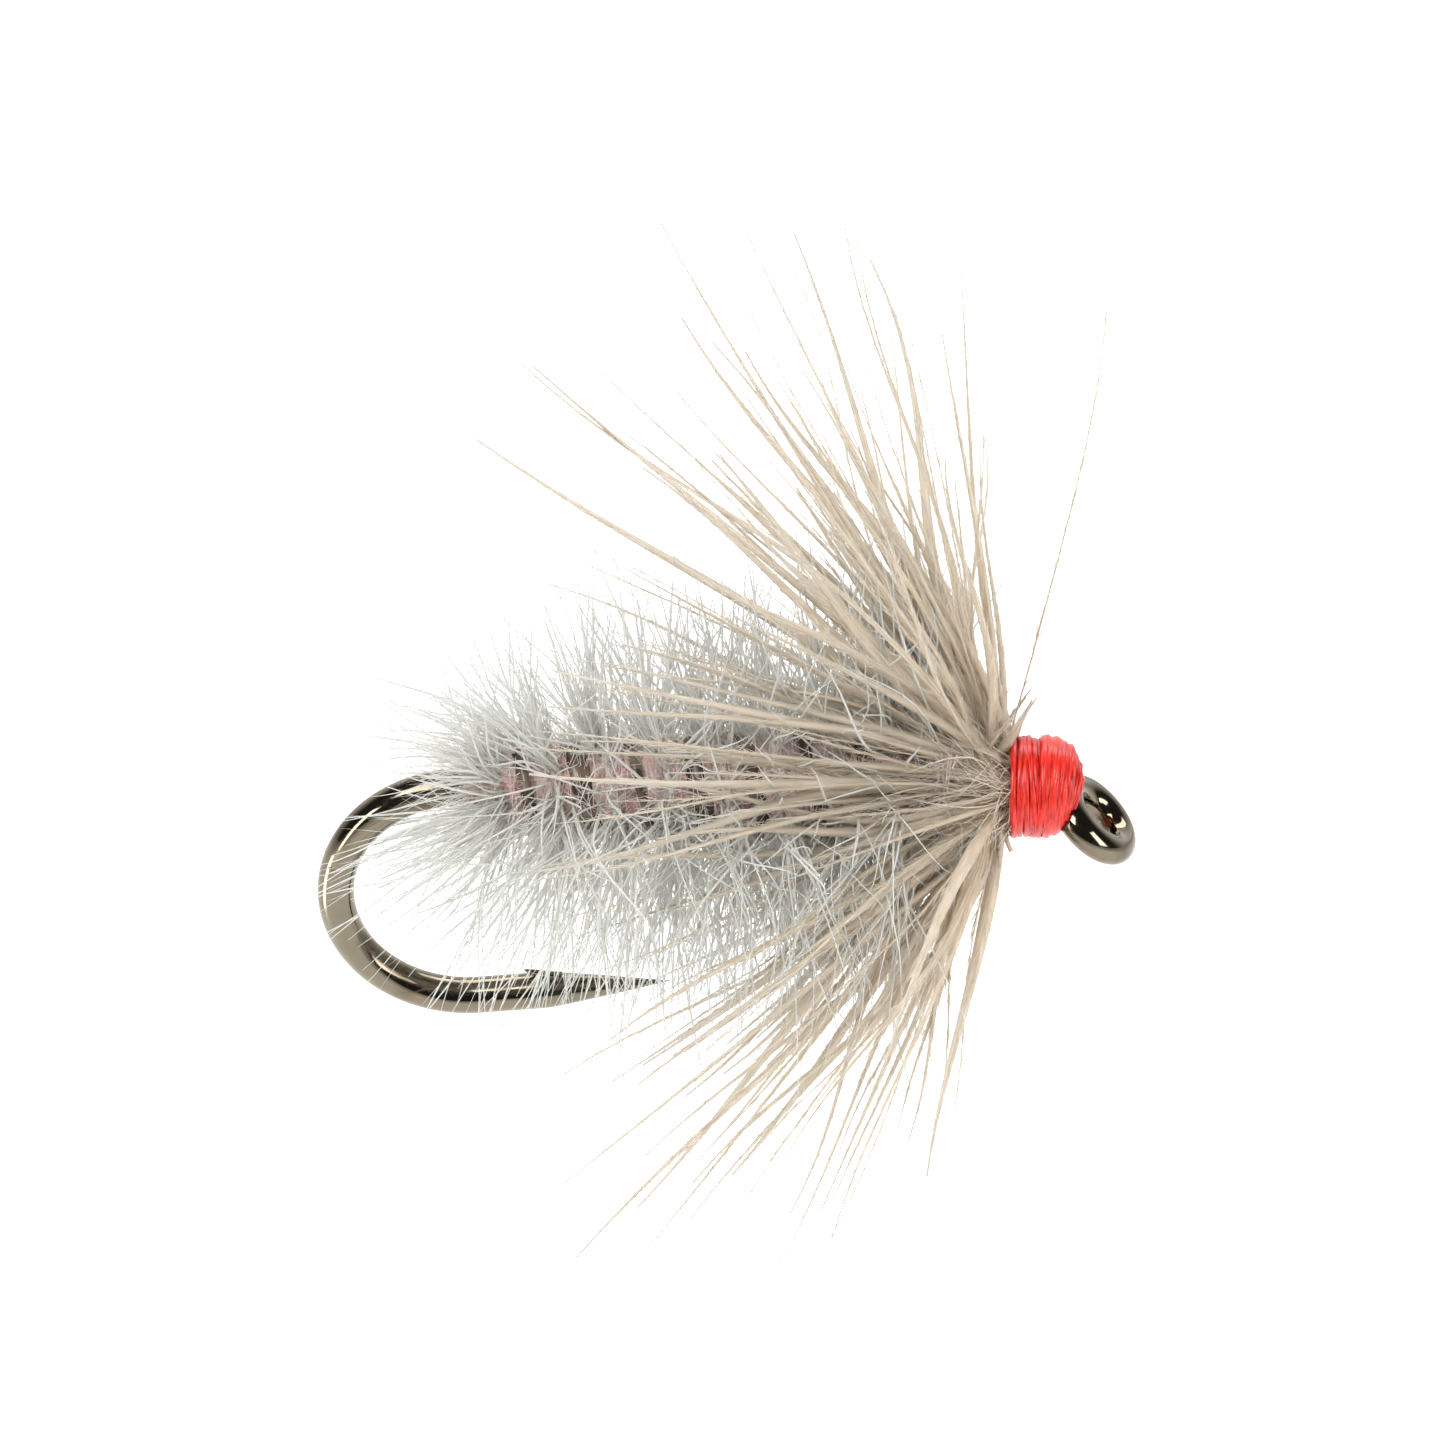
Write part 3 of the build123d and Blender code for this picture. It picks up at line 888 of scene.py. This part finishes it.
def barb_set(rng, count, middle, spread_angle, sweeps, lengths, curl):
    """Random front barbs about one direction round the shank: angle, sweep, length and curl."""
    furthest = 1.9
    return {
        "angle": middle + spread_angle * np.clip(rng.normal(0, 1, count), -furthest, furthest),
        "sweep": np.radians(rng.uniform(*sweeps, count)),
        "length": rng.uniform(*lengths, count) * MM,
        "curl": rng.normal(*curl, count),
    }


def front_barbs():
    """All the front barbs: a fan above, a fan below, and the ones that lie along both sides."""
    rng = np.random.default_rng(200)
    sets = [outline_set(rng, HIGH_BARBS, ABOVE), outline_set(rng, LOW_BARBS, BELOW)]
    sets += [barb_set(rng, *values) for values in BARB_SETS]
    return {key: np.concatenate([s[key] for s in sets]) for key in sets[0]}


def barb_paths(barbs, x, segments):
    """Paths of the front barbs from their roots on the stem."""
    count = len(x)
    rng = np.random.default_rng(201)
    curve, sway = 0.05, 0.022
    roots = around(x, FRONT_ROOT_RADIUS, barbs["angle"])
    start = unit(lean_out(barbs["angle"], barbs["sweep"]))
    radial = lean_out(barbs["angle"], np.zeros(count))
    side = np.cross(np.broadcast_to(ALONG, radial.shape), radial)
    bends = ALONG * barbs["curl"][:, None] + side * rng.normal(0, curve, (count, 1))
    across = unit(np.cross(start, side))
    sways = across * rng.normal(0, sway, (count, 1)) + side * rng.normal(0, sway, (count, 1))
    return fibre_paths(roots, start, barbs["length"], bends, segments, sways)


def ribbons(paths, widths, spin, ridge):
    """Narrow diamond-section ribbons, with their width directions and tangents."""
    tangents, first, second = strand_frames(paths)
    wide = first * np.cos(spin)[:, None, None] + second * np.sin(spin)[:, None, None]
    high = np.cross(tangents, wide)
    widths = widths[:, :, None]
    points = np.stack([
        paths - wide * widths,
        paths + high * widths * ridge,
        paths + wide * widths,
        paths - high * widths * ridge,
    ], 2)
    return stack(points), wide, tangents


def barbules(paths, wide, tangents, rng, per_barb):
    """Soft side hairs along each barb that lie close to it and widen its lower part."""
    furthest, lift_scatter, curve, thick = 0.9, 0.35, -0.10, 0.0062 * MM
    full_reach, shortest = 3 * MM, 0.3        # barbs of less reach get shorter hairs
    count, segments = paths.shape[:2]
    total = count * per_barb
    barb = np.repeat(np.arange(count), per_barb)
    place = rng.beta(1.1, 1.3, total) * furthest
    spot = place * (segments - 1)
    low = np.floor(spot).astype(int)
    share = (spot - low)[:, None]
    roots = paths[barb, low] * (1 - share) + paths[barb, low + 1] * share
    along = tangents[barb, low]
    side = wide[barb, low] * rng.choice([-1.0, 1.0], total)[:, None]
    lift = np.cross(along, side) * rng.normal(0, lift_scatter, total)[:, None]
    open_angle = rng.uniform(0.08, 0.46, total)[:, None]
    directions = unit(along * np.cos(open_angle) + (side + lift) * np.sin(open_angle))
    lengths = rng.uniform(0.30, 0.70, total) * MM * (1 - 0.6 * place)
    reach = np.linalg.norm(paths[:, -1] - paths[:, 0], axis=-1)
    lengths = lengths * np.clip(reach[barb] / full_reach, shortest, 1)
    profile = np.array([1.0, 0.9, 0.65, 0.15])
    hairs = fibre_paths(roots, directions, lengths, side * curve, len(profile))
    return tubes(hairs, thick * profile[None])


def make_front_hackle(vane_material, rachis_material, hair_material, stem):
    """The long swept barbs, shared between the stem's three turns, with down and the stem."""
    barbs = front_barbs()
    count, segments, per_barb = len(barbs["angle"]), 15, 125
    rng = np.random.default_rng(210)
    turn = rng.permutation(np.arange(count) % FRONT_TURNS)
    overrun = 0.14 * MM        # the last barbs rise in front of the stem
    length = FRONT_STEM_END + overrun - FRONT_STEM_START
    x = FRONT_STEM_START + length * (turn + rng.random(count)) / FRONT_TURNS
    paths = barb_paths(barbs, x, segments)

    # The web widens over the first quarter of a barb and then narrows nearly to its tip
    root_width, widest, narrowing = 0.35, 0.25, 0.86
    share = np.linspace(0, 1, segments)[None]
    swell = root_width + 0.65 * np.sin(np.clip(share / widest, 0, 1) * math.pi / 2)
    swell = swell * (1 - narrowing * np.clip((share - widest) / 0.72, 0, 1) ** 0.85)
    widths = rng.uniform(0.050, 0.115, (count, 1)) * MM * swell
    widths[0] *= 0.3        # the one barb that leans forward is nearly bare
    taper = 1 - 0.5 * share**1.5
    rachis = rng.uniform(0.011, 0.015, (count, 1)) * MM * taper
    spin = rng.uniform(0, TAU, count)
    for index in range(FRONT_TURNS):
        mine = np.nonzero(turn == index)[0]
        vanes, wide, tangents = ribbons(paths[mine], widths[mine], spin[mine], ridge=0.16)
        shafts = tubes(paths[mine], rachis[mine], sides=6)
        hairs = barbules(paths[mine], wide, tangents, rng, per_barb)
        nodes = [f"front_hackle_turn_{index + 1}"]
        for name, grid, material, replaced, seed in (
            ("front_vanes", vanes, vane_material, nodes, 220),
            ("front_barbs", shafts, rachis_material, nodes, 225),
            ("front_barbules", hairs, hair_material, (), 230),
        ):
            piece(f"{name}_{index + 1}", grid, material, replaced, seed + index)

    piece("front_down", front_down_grid(rng), hair_material, (), 250)
    thick, sink = 0.065 * MM, 0.07 * MM
    radius = FRONT_STEM_OUTSIDE - sink
    path = winding(FRONT_STEM_START, FRONT_STEM_END, FRONT_TURNS, radius, steps=40)
    grid = tube(path, thick, sides=12)
    piece("front_stem", grid, stem, ["front_hackle_stem"])
    piece("stem_butt", stem_butt_grid(), stem, ["front_hackle_butt"])


def front_down_grid(rng):
    """Short curled down at the barbs' roots."""
    count, lean_scatter, curl = 900, 0.5, 0.35
    x = rng.uniform(FRONT_STEM_START, collar_low.x + 0.06 * MM, count)
    angle = rng.uniform(0, TAU, count)
    lean = np.radians(np.clip(rng.normal(42, 24, count), -5, 80))
    directions = unit(lean_out(angle + rng.normal(0, lean_scatter, count), lean))
    lengths = rng.gamma(3.0, 0.24, count) * MM
    bends = rng.normal(0, curl, (count, 3))
    bends[:, 0] = -np.abs(bends[:, 0])
    profile = np.array([1.0, 1.0, 0.95, 0.85, 0.7, 0.48, 0.14])
    roots = around(x, FRONT_ROOT_RADIUS, angle)
    paths = fibre_paths(roots, directions, lengths, bends, len(profile))
    return tubes(paths, rng.uniform(0.007, 0.014, (count, 1)) * MM * profile[None])


def stem_butt_grid():
    """The clipped end of the hackle's stem, low on the near side of the head."""
    inset, bow = 0.03 * MM, np.array([-0.06 * MM, 0, 0])
    top = np.array([(butt_low.x + butt_high.x) / 2, butt_high.y - inset, butt_high.z - 0.02 * MM])
    tip = np.array([top[0] + 0.05 * MM, butt_low.y + inset, butt_low.z + inset])
    share = np.linspace(0, 1, 12)[:, None]
    path = top + (tip - top) * share + bow * np.sin(share * math.pi)
    return tube(path, 0.045 * MM * (1 - 0.25 * share[:, 0]), sides=12)


# ---------------------------------------------------------------- stage, light and camera

# Soft area lights: place and size in millimetres, and power in watts
LIGHTS = (
    ("key", (-50, -45, 85), (60, 60), 0.10),
    ("side", (-95, -55, 10), (20, 60), 0.035),
    ("bounce", (-38, -8, -15), (8, 16), 0.003),
    ("fill", (70, -55, 35), (40, 60), 0.055),
    ("rim", (0, 70, 75), (110, 40), 0.08),
)


def make_stage():
    """A plain pale floor well below the fly, which hangs from its eye."""
    half, drop = 400 * MM, 14 * MM
    height = cad_bounds[0].z - drop
    mesh = bpy.data.meshes.new("floor")
    corners = [(x * half, y * half, height) for x, y in ((-1, -1), (1, -1), (1, 1), (-1, 1))]
    mesh.from_pydata(corners, [], [(0, 1, 2, 3)])
    material, tree, bsdf = shader(
        "pale_floor", Roughness=0.9, Emission_Color=(*grey(1), 1), Emission_Strength=0.35
    )
    patches = noise(tree, scale=60, detail=3.0)
    colour = ramp(tree, patches, [(0.3, grey(0.93)), (0.7, grey(0.95))])
    tree.links.new(colour, bsdf.inputs["Base Color"])
    mesh.materials.append(material)
    floor = bpy.data.objects.new("floor", mesh)
    bpy.context.scene.collection.objects.link(floor)


def smooth_range(tree, source, start, end, low, high):
    """A value mapped smoothly so that start gives low and end gives high."""
    node = add_node(tree, "ShaderNodeMapRange", interpolation_type="SMOOTHSTEP")
    for name, value in (("From Min", start), ("From Max", end), ("To Min", low), ("To Max", high)):
        node.inputs[name].default_value = value
    tree.links.new(source, node.inputs["Value"])
    return node.outputs["Result"]


def make_world():
    """White studio surroundings, dimmer on the camera's side, and more so in what metal mirrors."""
    world = bpy.data.worlds.new("studio")
    world.use_nodes = True
    tree = world.node_tree
    background = tree.nodes["Background"]
    looking = (0.0, 0.86, -0.5)        # about the way that the camera looks
    facing = add_node(tree, "ShaderNodeVectorMath", operation="DOT_PRODUCT")
    facing.inputs[1].default_value = looking
    place = tree.nodes.new("ShaderNodeTexCoord").outputs["Generated"]
    tree.links.new(place, facing.inputs[0])
    facing = facing.outputs["Value"]
    level = smooth_range(tree, facing, start=-0.35, end=0.45, low=0.26, high=1.0)
    mirrored = smooth_range(tree, facing, start=-0.05, end=0.85, low=0.06, high=1.5)
    rays = tree.nodes.new("ShaderNodeLightPath").outputs
    chosen = mix(tree, rays["Is Glossy Ray"], level, mirrored, data="FLOAT")
    # The camera itself sees plain white
    strength = add_node(tree, "ShaderNodeMath", operation="MAXIMUM")
    tree.links.new(chosen, strength.inputs[0])
    tree.links.new(rays["Is Camera Ray"], strength.inputs[1])
    tree.links.new(strength.outputs["Value"], background.inputs["Strength"])
    background.inputs["Color"].default_value = (*grey(1), 1)
    bpy.context.scene.world = world


def make_light(name, place, size, power, target):
    """A soft area light that faces the fly."""
    data = bpy.data.lights.new(name, "AREA")
    data.shape = "RECTANGLE"
    data.size, data.size_y = (side * MM for side in size)
    data.energy = power
    light = bpy.data.objects.new(name, data)
    light.location = [value * MM for value in place]
    light.rotation_mode = "QUATERNION"
    away = Vector(target) - Vector([value * MM for value in place])
    light.rotation_quaternion = away.to_track_quat("-Z", "Y")
    bpy.context.scene.collection.objects.link(light)


def make_camera():
    """The photograph's angle: square on to the fly's side and looking down at it."""
    lens, sensor, frame_width = 300.0, 36.0, 21.2 * MM
    back = Vector((0, -math.cos(CAMERA_ELEVATION), math.sin(CAMERA_ELEVATION)))
    rise = Vector((0, math.sin(CAMERA_ELEVATION), math.cos(CAMERA_ELEVATION)))
    aim_along, aim_up = -5.45, 1.43        # millimetres from the eye, in the picture
    target = Vector((aim_along * MM, 0, 0)) + rise * aim_up * MM
    distance = frame_width * lens / sensor
    data = bpy.data.cameras.new("camera")
    data.lens = lens
    data.sensor_width = sensor
    data.clip_start = distance * 0.05
    data.clip_end = distance * 50
    camera = bpy.data.objects.new("camera", data)
    camera.location = target + back * distance
    camera.rotation_mode = "QUATERNION"
    camera.rotation_quaternion = (-back).to_track_quat("-Z", "Y")
    bpy.context.scene.collection.objects.link(camera)
    bpy.context.scene.camera = camera
    return target


# ---------------------------------------------------------------- putting it together

bpy.context.scene.view_settings.view_transform = "Standard"
make_stage()
make_world()
centre = make_camera()
for light in LIGHTS:
    make_light(*light, centre)

steel = hook_material()
make_hook(steel)
make_eye(steel)
# Each thread's dark stop is partly painted shade in the grooves, and its light stop partly painted
# light on the ridges
red = thread_material(
    "red_thread",
    dark=(0.30, 0.003, 0.002), middle=(0.64, 0.018, 0.010), light=(0.80, 0.050, 0.030), coat=0.15,
)
pink = thread_material(
    "pink_thread",
    dark=(0.40, 0.20, 0.19), middle=(0.66, 0.40, 0.38), light=(0.78, 0.56, 0.52), coat=0.1,
)
make_head(red)
make_underlay(pink)
fibre = {name: fibre_material(name, *looks) for name, looks in FIBRE_LOOKS.items()}
make_dubbing(dubbing_material(), fibre["underfur"])
make_rib(quill_material(), fibre["grey_stem"])
make_body_hackle(fibre["grey_fibre"], fibre["grey_web"])
make_front_hackle(
    fibre["tan_vane"], fibre["tan_rachis"], fibre["tan_barbule"], fibre["tan_stem"]
)
